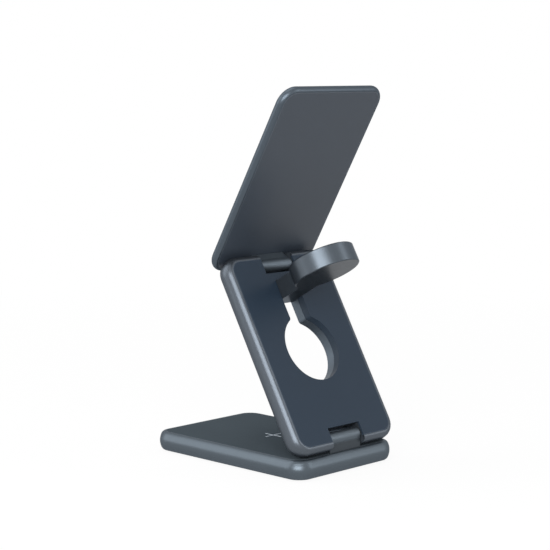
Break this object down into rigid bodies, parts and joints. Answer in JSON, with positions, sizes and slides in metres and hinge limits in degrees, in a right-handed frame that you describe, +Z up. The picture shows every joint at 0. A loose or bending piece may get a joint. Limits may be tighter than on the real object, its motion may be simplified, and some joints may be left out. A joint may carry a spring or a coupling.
{
  "type": "three in one wireless charger",
  "caption": "Foldable Z-shaped wireless charging stand: flat earbud base, hinged support, phone panel and a watch paddle that turns out of a keyhole.",
  "frame": {"origin": "centre of the base's underside, at the foot pad", "axes": "+Z up, +Y to the back of the stand, X along the hinges"},
  "size_m": [0.066, 0.097, 0.1739],
  "materials": {
    "base_frame": "satin paint on aluminium",
    "base_top_plate": "fine matte",
    "base_bottom_cover": "matte",
    "base_foot_pad": "matte",
    "base_counterweight": "zinc plated",
    "earbud_coil": "enamelled copper",
    "earbud_ferrite": "matte",
    "main_board": "solder mask",
    "main_board_parts": "moulded chips",
    "power_socket": "nickel plated",
    "base_cover_screws": "blackened",
    "lower_knuckle": "satin paint",
    "lower_knuckle_screws": "blackened",
    "lower_hinge_shaft": "ground",
    "support_frame": "satin paint on aluminium",
    "support_rear_cover": "fine satin",
    "support_front_cover": "satin",
    "support_power_ribbon": "film",
    "watch_pivot_pin": "ground",
    "lower_friction_bushes": "rolled spring steel",
    "upper_friction_bushes": "rolled spring steel",
    "phone_frame": "satin paint on aluminium",
    "phone_back_plate": "fine satin",
    "phone_front_pad": "soft touch",
    "phone_coil": "enamelled copper",
    "phone_ferrite": "matte",
    "phone_magnets": "nickel plated",
    "phone_board": "solder mask",
    "phone_board_parts": "moulded chips",
    "upper_knuckle": "satin paint",
    "upper_knuckle_screws": "blackened",
    "upper_hinge_shaft": "ground",
    "watch_housing": "satin paint on aluminium",
    "watch_charging_pad": "smooth",
    "watch_coil": "enamelled copper",
    "watch_magnet": "nickel plated",
    "watch_ferrite": "matte",
    "watch_board": "solder mask"
  },
  "bodies": {
    "base": {"base_frame": "base_frame", "base_top_plate": "base_top_plate", "base_bottom_cover": "base_bottom_cover", "base_foot_pad": "base_foot_pad", "base_counterweight": "base_counterweight", "earbud_coil": "earbud_coil", "earbud_ferrite": "earbud_ferrite", "main_board": "main_board", "main_board_parts": "main_board_parts", "power_socket": "power_socket", "base_cover_screws": "base_cover_screws", "lower_knuckle": "lower_knuckle", "lower_knuckle_screws": "lower_knuckle_screws", "lower_hinge_shaft": "lower_hinge_shaft"},
    "support": {"support_frame": "support_frame", "support_rear_cover": "support_rear_cover", "support_front_cover": "support_front_cover", "support_power_ribbon": "support_power_ribbon", "watch_pivot_pin": "watch_pivot_pin", "lower_friction_bushes": "lower_friction_bushes", "upper_friction_bushes": "upper_friction_bushes"},
    "phone_panel": {"phone_frame": "phone_frame", "phone_back_plate": "phone_back_plate", "phone_front_pad": "phone_front_pad", "phone_coil": "phone_coil", "phone_ferrite": "phone_ferrite", "phone_magnets": "phone_magnets", "phone_board": "phone_board", "phone_board_parts": "phone_board_parts", "upper_knuckle": "upper_knuckle", "upper_knuckle_screws": "upper_knuckle_screws", "upper_hinge_shaft": "upper_hinge_shaft"},
    "watch_paddle": {"watch_housing": "watch_housing", "watch_charging_pad": "watch_charging_pad", "watch_coil": "watch_coil", "watch_magnet": "watch_magnet", "watch_ferrite": "watch_ferrite", "watch_board": "watch_board"}
  },
  "joints": [
    {"name": "support_fold", "type": "hinge", "parent": "base", "child": "support", "pos_m": [0, 0.043, 0.01526], "axis": [1, 0, 0], "range_deg": [0, 60]},
    {"name": "phone_fold", "type": "hinge", "parent": "support", "child": "phone_panel", "pos_m": [0, -0.0003, 0.09026], "axis": [-1, 0, 0], "range_deg": [0, 120]},
    {"name": "watch_swing", "type": "hinge", "parent": "support", "child": "watch_paddle", "pos_m": [0, 0.00675, 0.07805], "axis": [-1, 0, 0], "range_deg": [0, 90]}
  ],
  "couplings": [
    {"joint": "phone_fold", "follows": "support_fold", "ratio": 2},
    {"joint": "watch_swing", "follows": "support_fold", "ratio": 1.5}
  ]
}
